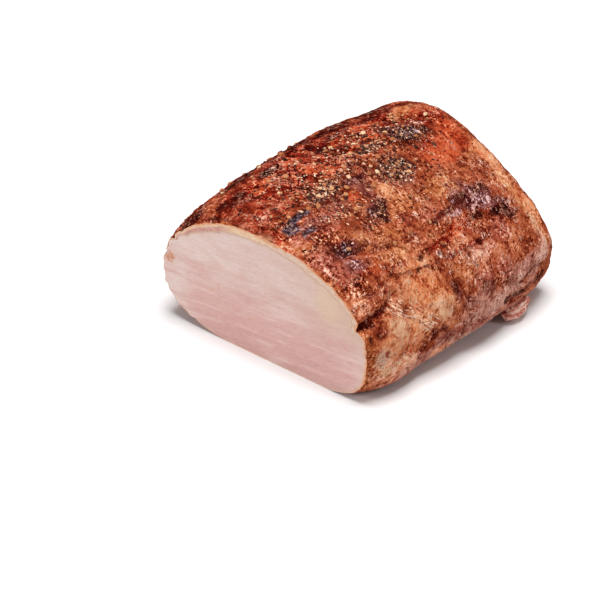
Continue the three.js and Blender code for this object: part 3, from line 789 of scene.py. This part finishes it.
def scale_of_tone(middle, detail_share, *clouds):
    """Dark to light around middle, with clouds and a share of the fine detail in it."""
    swayed = crust.math("MULTIPLY_ADD", detail, detail_share, crust.swayed(shade, *clouds))
    return crust.math("ADD", swayed, middle)


busy = scale_of_tone(0.5, 1.0, (middling, 1.5), (broad, 1.0))
calm = scale_of_tone(0.54, 0.75, (middling, 0.8), (drift, 1.0))
soft = scale_of_tone(0.54, 0.4, (middling, 0.6), (drift, 0.9))
ruddy = scale_of_tone(0.5, 0.85, (middling, 1.2), (broad, 1.4))


def stain(name, sway, low, high, top=1.0):
    """Share of a stain, its edge broken up by the clouds."""
    felt = crust.swayed(crust.felt(name), (broad, sway), (middling, 1.3 * sway), (small, 1.2 * sway))
    return crust.step(felt, low, high, top)


# Glazed lean of the sides, from dark red brown to salmon. Then the stains, from below to above: the
# edge of each, its scale of tone and the colours along it.
skin = crust.tones(
    calm, (0.1, (84, 24, 14)), (0.35, (144, 60, 36)), (0.55, (174, 88, 56)), (0.75, (200, 116, 80)),
    (1.0, (234, 164, 130)),
)
SKIN_STAINS = [
    ("rough", (0.8, 0.15, 0.6), busy, [
        (0.08, (32, 7, 4)), (0.3, (94, 26, 13)), (0.5, (144, 54, 29)), (0.7, (182, 82, 47)),
        (0.86, (220, 132, 90)), (0.97, (252, 206, 172)),
    ]),
    ("red", (0.8, 0.1, 0.5), ruddy, [
        (0.1, (34, 5, 4)), (0.3, (90, 15, 8)), (0.5, (138, 36, 20)), (0.68, (176, 62, 35)),
        (0.82, (202, 96, 60)), (0.95, (240, 176, 140)),
    ]),
    ("orange", (0.7, 0.1, 0.7, 0.95), calm, [
        (0.1, (116, 24, 11)), (0.35, (172, 62, 34)), (0.6, (202, 92, 56)), (0.8, (224, 122, 82)),
        (1.0, (244, 172, 132)),
    ]),
    ("tan", (0.7, 0.1, 0.7, 0.95), calm, [
        (0.1, (124, 48, 24)), (0.35, (170, 86, 50)), (0.55, (196, 116, 74)), (0.75, (214, 142, 98)),
        (1.0, (238, 186, 146)),
    ]),
    ("rosy", (0.7, 0.1, 0.7, 0.9), calm, [
        (0.1, (88, 26, 18)), (0.35, (148, 66, 48)), (0.6, (188, 106, 84)), (0.8, (222, 152, 130)),
        (1.0, (250, 204, 188)),
    ]),
    ("mauve", (0.8, 0.1, 0.7, 0.9), calm, [
        (0.1, (60, 18, 17)), (0.4, (118, 56, 48)), (0.65, (154, 88, 78)), (1.0, (208, 152, 142)),
    ]),
    ("plum", (0.8, 0.1, 0.7, 0.95), busy, [
        (0.1, (34, 10, 12)), (0.36, (82, 32, 30)), (0.6, (126, 66, 60)), (0.8, (170, 112, 108)),
        (1.0, (226, 186, 186)),
    ]),
    ("gold", (0.6, 0.05, 0.9), soft, [
        (0.2, (142, 56, 30)), (0.36, (188, 92, 54)), (0.5, (214, 128, 84)), (0.66, (228, 156, 112)),
        (0.85, (242, 194, 158)),
    ]),
    ("meaty", (0.6, 0.1, 0.7, 0.85), soft, [
        (0.2, (116, 56, 46)), (0.42, (176, 112, 96)), (0.66, (212, 158, 142)), (0.9, (242, 202, 188)),
    ]),
    ("pale", (0.9, 0.15, 1.4, 0.8), soft, [
        (0.25, (184, 120, 86)), (0.5, (214, 160, 124)), (0.75, (232, 194, 162)),
    ]),
    ("clear", (0.9, 0.2, 1.4, 0.8), soft, [
        (0.25, (152, 98, 78)), (0.5, (194, 144, 122)), (0.8, (218, 184, 166)),
    ]),
    ("russet", (0.8, 0.1, 0.7, 0.9), calm, [
        (0.1, (58, 12, 8)), (0.35, (102, 28, 16)), (0.55, (134, 48, 29)), (0.75, (168, 74, 48)),
        (1.0, (216, 138, 108)),
    ]),
    ("coral", (0.5, 0.2, 0.8, 0.9), soft, [
        (0.2, (164, 72, 42)), (0.42, (206, 116, 78)), (0.62, (230, 154, 116)), (0.85, (250, 206, 180)),
    ]),
    ("rim", (0.6, 0.2, 0.8, 0.9), calm, [
        (0.1, (92, 30, 15)), (0.4, (156, 74, 38)), (0.65, (196, 112, 68)), (0.95, (236, 172, 128)),
    ]),
    ("maroon_and_ridge_shade", (1.5, 0.3, 0.7, 0.95), busy, [
        (0.1, (18, 4, 4)), (0.4, (54, 11, 8)), (0.7, (92, 28, 20)), (0.95, (186, 108, 88)),
    ]),
]
for name, edge, scale, stops in SKIN_STAINS:
    skin = crust.mix(stain(name, *edge), skin, crust.tones(scale, *stops))
ragged = crust.swayed(small, (middling, 0.6), (fine, 0.4))
# Partly painted shade: dark red lines along the fine folds.
fold_shade_share = crust.step(crust.swayed(crust.felt("fold_shade"), (small, 3.4), (middling, 3.0)), 0.5, 1.0, 0.85)
skin = crust.mix(fold_shade_share, skin, paint(96, 20, 12))
off_fat = crust.step(crust.felt("gold"), 0.7, 0.2)
dark_spots = crust.all_of(crust.step(ragged, 0.38, 0.3), crust.step(broad, 0.56, 0.44, 0.85), off_fat)
skin = crust.mix(dark_spots, skin, paint(84, 20, 12))
dark_strokes = crust.all_of(crust.step(strokes, 0.36, 0.3), crust.step(drift, 0.54, 0.46, 0.85))
skin = crust.mix(dark_strokes, skin, paint(76, 18, 10))
# Char, the light end of its tones painted lilac glints.
burnt = crust.all_of(stain("char", 1.2, 0.2, 0.85), crust.step(crust.felt("char"), 0.0, 0.25))
skin = crust.mix(burnt, skin, crust.tones(
    crust.swayed(0.5, (small, 2.0), (middling, 2.0)), (0.15, (24, 9, 10)), (0.4, (58, 38, 43)),
    (0.7, (96, 76, 84)), (0.97, (170, 142, 150)),
))
caked = crust.all_of(stain("peppered", 0.9, 0.3, 0.9, 0.9), crust.step(crust.felt("peppered"), 0.0, 0.2))
skin = crust.mix(caked, skin, crust.tones(
    busy, (0.25, (18, 7, 4)), (0.5, (66, 26, 14)), (0.7, (138, 70, 40)), (0.92, (234, 184, 140)),
))
specks = crust.step(crust.swayed(crust.cells((3.1, 3.1, 3.1)), (fine, 0.2)), 0.2, 0.13)
specks = crust.all_of(specks, crust.step(small, 0.44, 0.54, 0.85), off_fat)
skin = crust.mix(specks, skin, paint(40, 12, 8))
dots = crust.step(crust.swayed(crust.cells((1.7, 1.7, 1.7)), (fine, 0.4)), 0.24, 0.14)
dots = crust.all_of(dots, crust.step(middling, 0.56, 0.46, 0.7), crust.step(crust.felt("gold"), 1.0, 0.3))
skin = crust.mix(dots, skin, paint(88, 26, 18))
# Painted highlights: small pale glint dots.
lights = crust.step(crust.swayed(crust.cells((2.1, 1.8, 2.1)), (fine, 0.4)), 0.2, 0.12)
skin = crust.mix(crust.all_of(lights, crust.step(broad, 0.44, 0.56, 0.7)), skin, paint(240, 186, 156))
# Painted highlights: pale glint strokes painted into the colour where the glint stain is felt, lilac on
# the plum.
glint_strokes = crust.step(crust.swayed(strokes, (fine, 0.8)), 0.58, 0.68)
glint_share = crust.swayed(crust.felt("painted_glints"), (middling, 2.4), (broad, 1.0))
glints = crust.mix(stain("plum", 0.4, 0.2, 0.7), paint(255, 218, 200), paint(236, 206, 214))
skin = crust.mix(crust.all_of(glint_strokes, crust.step(glint_share, 0.2, 0.7, 0.95)), skin, glints)
threads = crust.line(veins, 0.5, 0.03, 0.01)
threads = crust.all_of(threads, crust.step(small, 0.4, 0.56), crust.step(broad, 0.46, 0.6, 0.6))
skin = crust.mix(threads, skin, paint(236, 176, 146))
drawn_out = crust.cloud((5, 13, 1.5), 2, 0.5, lean=(-42, 0, 0), warp=0.4)
sinews = crust.line(drawn_out, 0.5, 0.045, 0.015)
sinews = crust.all_of(sinews, stain("sinew", 0.6, 0.2, 0.7), crust.step(small, 0.22, 0.42))
skin = crust.mix(sinews, skin, paint(246, 204, 176))
roughness = crust.all_of(crust.swayed(0.3, (small, 0.4)), crust.step(burnt, -1.0, 1.0, 1.4))
relief_of_skin = None
for unevenness, depth in ((middling, 1.2), (strokes, 0.8), (small, 0.6), (fine, 0.2)):
    relief_of_skin = crust.bumps(unevenness, depth, relief_of_skin)
crust_finish = crust.done(skin, roughness, relief_of_skin, Specular_IOR_Level=0.0)
for finish in (cut_finish, crust_finish):
    loin_mesh.materials.append(finish)
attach(loin_meat, "root")
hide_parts("loin")

# The scrap. A shred of lean that hangs on the lower right edge, glossy with juice, and grown onto
# the loin. It is a long lumpy oval, as in the solid, its far end the higher. The pale end of its
# tones is painted highlight, and its colours are painted lighter against the shade under the edge.
SCRAP_PLACE = (64.8, 105.4, 6.2)
SCRAP_HALF = (4.3, 8.4, 4.1)
SCRAP_TILT = math.radians(12)
LOBE_SIZE, LOBE_SWELL = (0.9, 0.9, 0.9), 0.16
STRAND_SIZE, STRAND_SWELL = (0.3, 1.1, 0.3), 0.12
scrap_build = bmesh.new()
bmesh.ops.create_icosphere(scrap_build, subdivisions=5, radius=1)
scrap_mesh = bpy.data.meshes.new("scrap_of_lean")
scrap_build.to_mesh(scrap_mesh)
scrap_build.free()
scrap_mesh.polygons.foreach_set("use_smooth", np.ones(len(scrap_mesh.polygons), bool))
ball = np.array([v.co for v in scrap_mesh.vertices])
swell = 1 + LOBE_SWELL * uneven(ball, LOBE_SIZE, 4) + STRAND_SWELL * uneven(ball, STRAND_SIZE, 3)
shred = ball * swell[:, None] * SCRAP_HALF
shred = shred @ np.array(Matrix.Rotation(SCRAP_TILT, 3, "X")).T
shred = np.clip(shred + SCRAP_PLACE, box_low, box_high)
scrap_mesh.vertices.foreach_set("co", ((shred + frame_shift) * MM).astype(np.float32).ravel())
scrap = placed("scrap_of_lean", scrap_mesh)
lean = Finish("scrap_lean")
strands = lean.cloud((1.5, 4.2, 1.3), 3, 0.55, lean=(12, 0, 0), warp=0.7)
beads = lean.cloud((1.0, 1.4, 1.0), 2, 0.5)
shred_tone = lean.swayed(0.5, (strands, 2.4), (beads, 1.0))
# Its colours with painted light: the near-white end is painted highlight, and all are lighter to make up
# for the shade under the edge.
shred_colour_and_painted_light = lean.tones(
    shred_tone, (0.1, (124, 44, 34)), (0.32, (208, 112, 90)), (0.54, (236, 158, 136)),
    (0.78, (252, 206, 188)), (1.0, (255, 240, 232)),
)
scrap_mesh.materials.append(lean.done(
    shred_colour_and_painted_light, lean.swayed(0.3, (beads, 0.3)), lean.bumps(strands, 1.6, lean.bumps(beads, 0.6)),
    Specular_IOR_Level=0.4,
))
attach(scrap, "root")

# The spice. Cracked pepper and seed, rubbed on before smoking and baked into the crust. The larger
# grains are those of the solid, and drifts of smaller crumbs lie thick between them.
PLACES_SEED = 4107
GRAIN_SPACING = 3.4
GRAIN_TRIES = 4000
GRAIN_SUNK = 0.35
GRAIN_SPIN = 0.7
GRAIN_KINDS = [(32, 1.35, 1.25, 0.75), (42, 1.1, 1.35, 0.7), (52, 0.9, 1.2, 0.8)]
SPICED_ALONG = (3, 130)
SPICED_ROUND = (5, 165)
SPICE_DRIFTS = [
    (43, 77, 20, 17, 1), (80, 73, 22, 16, 1), (60, 96, 56, 26, 0.55), (100, 84, 34, 26, 0.5),
    (24, 88, 24, 34, 0.35), (60, 40, 62, 34, 0.12), (66, 140, 70, 34, 0.16),
]


def on_skin(along, angle):
    """Points of the finished crust at places on it, and the outward directions there."""
    row = np.clip(along / body_end * STEPS_ALONG, 0, STEPS_ALONG - 0.001)
    column = (angle - SHOWN_FROM) / (SHOWN_TO - SHOWN_FROM) * SHOWN_COLUMNS
    i, j = row.astype(int), column.astype(int)
    u, v = (row - i)[:, None], (column - j)[:, None]

    def between(net):
        near = net[i, j] * (1 - v) + net[i, j + 1] * v
        far = net[i + 1, j] * (1 - v) + net[i + 1, j + 1] * v
        return near * (1 - u) + far * u

    return between(crust_net), between(crust_normals)


def grain_places():
    """Places of the solid's grains, in the order in which they were drawn there."""
    draws = seeded_draws(PLACES_SEED)
    tries = np.array([next(draws) for _ in range(3 * GRAIN_TRIES)]).reshape(-1, 3)
    along = SPICED_ALONG[0] + (SPICED_ALONG[1] - SPICED_ALONG[0]) * tries[:, 0]
    angle = SPICED_ROUND[0] + (SPICED_ROUND[1] - SPICED_ROUND[0]) * tries[:, 1]
    keep = tries[:, 2] < patches(SPICE_DRIFTS, along, angle)
    x, z = outline(along, angle)
    height = relief(along, angle) * np.clip(z / FLAT_FADE_HEIGHT, 0, 1)
    away = np.hypot(x, z - AXIS_HEIGHT)
    seats = np.stack([x + x / away * height, along, z + (z - AXIS_HEIGHT) / away * height], -1)
    wanted = sum(kind[0] for kind in GRAIN_KINDS)
    chosen = []
    for i in np.flatnonzero(keep):
        if all(np.linalg.norm(seats[i] - seats[j]) > GRAIN_SPACING for j in chosen):
            chosen.append(i)
        if len(chosen) == wanted:
            break
    return along[chosen], angle[chosen]


def stones(name, places, half_sizes, seed, finish):
    """One mesh of ragged cracked stones, pressed into the crust at places on it."""
    rng = np.random.default_rng(seed)
    seat, out = on_skin(*places)
    count = len(seat)
    corners = grain_corners * rng.uniform(0.76, 1.2, (count, len(grain_corners), 1))
    corners = corners * half_sizes[:, None, :]
    flat = np.cross(out, [0, 1, 0])
    flat /= np.linalg.norm(flat, axis=1, keepdims=True)
    spin = rng.normal(0, GRAIN_SPIN, (count, 1))
    one = flat * np.cos(spin) + np.cross(out, flat) * np.sin(spin)
    axes = np.stack([one, np.cross(out, one), out], 1)
    lift = half_sizes[:, 2:] * (1 - 2 * GRAIN_SUNK)
    spots = np.einsum("nci,nij->ncj", corners, axes) + (seat + out * lift)[:, None]
    spots = np.clip(spots, box_low, box_high).reshape(-1, 3)
    sides = (grain_sides + len(grain_corners) * np.arange(count)[:, None, None]).reshape(-1, 3)
    mesh = bpy.data.meshes.new(name)
    mesh.from_pydata(((spots + frame_shift) * MM).tolist(), [], sides.tolist())
    tint = mesh.attributes.new("tint", "FLOAT", "POINT")
    tint.data.foreach_set("value", np.repeat(rng.random(count), len(grain_corners)).astype(np.float32))
    mesh.materials.append(finish)
    piece = placed(name, mesh)
    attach(piece, "root")
    return piece


def grain_finish(name, *stops):
    """A finish that takes each grain's own tone, with darker pores and a dull sheen."""
    grain = Finish(name)
    pores = grain.cloud((0.5, 0.5, 0.5), 3, 0.6)
    tone = grain.swayed(grain.felt("tint"), (pores, 0.8))
    return grain.done(
        grain.tones(tone, *stops), grain.swayed(0.45, (pores, 0.5)), grain.bumps(pores, 0.2),
        Specular_IOR_Level=0.15,
    )


grain_build = bmesh.new()
bmesh.ops.create_icosphere(grain_build, subdivisions=1, radius=1)
grain_corners = np.array([v.co for v in grain_build.verts])
grain_sides = np.array([[v.index for v in face.verts] for face in grain_build.faces])
grain_build.free()
crust_normals = net_normals(crust_net)

mixed_spice = grain_finish(
    "mixed_spice", (0.0, (44, 18, 12)), (0.25, (124, 58, 32)), (0.55, (172, 98, 58)),
    (0.85, (206, 144, 96)), (1.0, (240, 206, 166)),
)
sizes = np.concatenate([
    np.tile([size * stretch, size, size * flatness], (count, 1))
    for count, size, stretch, flatness in GRAIN_KINDS
])
stones("spice_grains", grain_places(), sizes, 52, mixed_spice)


CRUMBS_ALONG, CRUMBS_ROUND = (1, 131), (-15, 200)
CRUMB_STRETCH, CRUMB_FLATNESS = (1, 2.2), 0.7
TRIES_A_CRUMB = 40


def crumbs(name, count, drifts, smallest, largest, seed, finish):
    """Small stones scattered where their drifts are thick."""
    rng = np.random.default_rng(seed)
    tries = TRIES_A_CRUMB * count
    along, angle = rng.uniform(*CRUMBS_ALONG, tries), rng.uniform(*CRUMBS_ROUND, tries)
    kept = np.flatnonzero(rng.random(tries) < patches(drifts, along, angle))[:count]
    size = rng.uniform(smallest, largest, (len(kept), 1))
    half_sizes = np.repeat(size, 3, axis=1)
    half_sizes[:, :1] *= rng.uniform(*CRUMB_STRETCH, size.shape)
    half_sizes[:, 2] *= CRUMB_FLATNESS
    return stones(name, (along[kept], angle[kept]), half_sizes, seed + 1, finish)


THIN_SPRINKLE = [(66, 96, 90, 40, 0.08), (66, 52, 90, 34, 0.025), (66, 160, 90, 40, 0.03)]
black_pepper = grain_finish(
    "black_pepper", (0.0, (26, 7, 6)), (0.5, (56, 19, 15)), (0.8, (98, 46, 34)), (1.0, (164, 100, 76)),
)
crumbs("cracked_pepper", 1300, STAINS["peppered"] + THIN_SPRINKLE, 0.25, 0.6, 61, black_pepper)
pale_seed = grain_finish(
    "pale_seed", (0.0, (146, 66, 44)), (0.3, (194, 118, 82)), (0.6, (222, 164, 124)),
    (1.0, (250, 220, 194)),
)
SEED_DRIFTS = STAINS["peppered"] + [(66, 96, 70, 20, 0.2), (40, 108, 40, 14, 0.1), (66, 60, 80, 40, 0.06)]
crumbs("seed_crumbs", 1100, SEED_DRIFTS, 0.22, 0.52, 71, pale_seed)

# The camera stands to the right of the cut face and looks down on the loin. It is placed from the
# lower right corner of the cut and the pixel that shows it.
AZIMUTH, ELEVATION = math.radians(42), math.radians(30)
FOCAL_PIXELS = 2300
FRAME_PIXELS = 600
CORNER = (62.8, 0, 10)
CORNER_PIXEL = (366, 388)
PIXELS_PER_MM = 2.28
ahead = np.array([
    -math.sin(AZIMUTH) * math.cos(ELEVATION), math.cos(AZIMUTH) * math.cos(ELEVATION),
    -math.sin(ELEVATION),
])
rightward = np.array([math.cos(AZIMUTH), math.sin(AZIMUTH), 0])
upward = np.cross(rightward, ahead)
aside = (CORNER_PIXEL[0] - FRAME_PIXELS / 2) / FOCAL_PIXELS
above = (FRAME_PIXELS / 2 - CORNER_PIXEL[1]) / FOCAL_PIXELS
corner = (np.array(CORNER) + frame_shift) * MM
distance = FOCAL_PIXELS / PIXELS_PER_MM * MM
camera_data = bpy.data.cameras.new("camera")
camera_data.lens = FOCAL_PIXELS / FRAME_PIXELS * camera_data.sensor_width
camera = placed("camera", camera_data)
camera.location = corner - distance * (ahead + aside * rightward + above * upward)
camera.rotation_euler = (math.pi / 2 - ELEVATION, 0, AZIMUTH)
bpy.context.scene.camera = camera

# The studio: a pale floor, a soft light overhead, one before the cut, a small one on the right and a
# white room.
FLOOR_HALF = 3.0
PAPER_WHITE, PAPER_ROUGHNESS = 0.9, 0.9
ROOM_LIGHT = 0.18
floor_mesh = bpy.data.meshes.new("floor")
corners = [(x * FLOOR_HALF, y * FLOOR_HALF, cad_low.z) for x, y in ((-1, -1), (1, -1), (1, 1), (-1, 1))]
floor_mesh.from_pydata(corners, [], [(0, 1, 2, 3)])
floor = placed("floor", floor_mesh)
paper = Finish("floor_paper")
floor_mesh.materials.append(paper.material)
paper.shader.inputs["Base Color"].default_value = (PAPER_WHITE, PAPER_WHITE, PAPER_WHITE, 1)
paper.shader.inputs["Roughness"].default_value = PAPER_ROUGHNESS
floor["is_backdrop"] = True


def soft_light(name, place, size, watts):
    data = bpy.data.lights.new(name, "AREA")
    data.shape = "RECTANGLE"
    data.size, data.size_y = size
    data.energy = watts
    light = placed(name, data)
    light.location = place
    light.rotation_euler = (-Vector(place)).to_track_quat("-Z", "Y").to_euler()


soft_light("key_light", (0.1, 0, 2.2), (1.2, 1.2), 54)
soft_light("front_light", (-0.7, -1.4, 0.55), (0.8, 0.6), 10.8)
soft_light("side_light", (1.2, 0.3, 0.9), (0.4, 0.4), 2.5)
room = bpy.data.worlds.new("room")
bpy.context.scene.world = room
room.use_nodes = True
surround = room.node_tree.nodes["Background"]
surround.inputs["Color"].default_value = (1, 1, 1, 1)
surround.inputs["Strength"].default_value = ROOM_LIGHT
bpy.context.scene.view_settings.view_transform = "Standard"

low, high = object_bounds()
sizes = {"cad": [list(cad_low), list(cad_high)], "visual": [list(low), list(high)]}
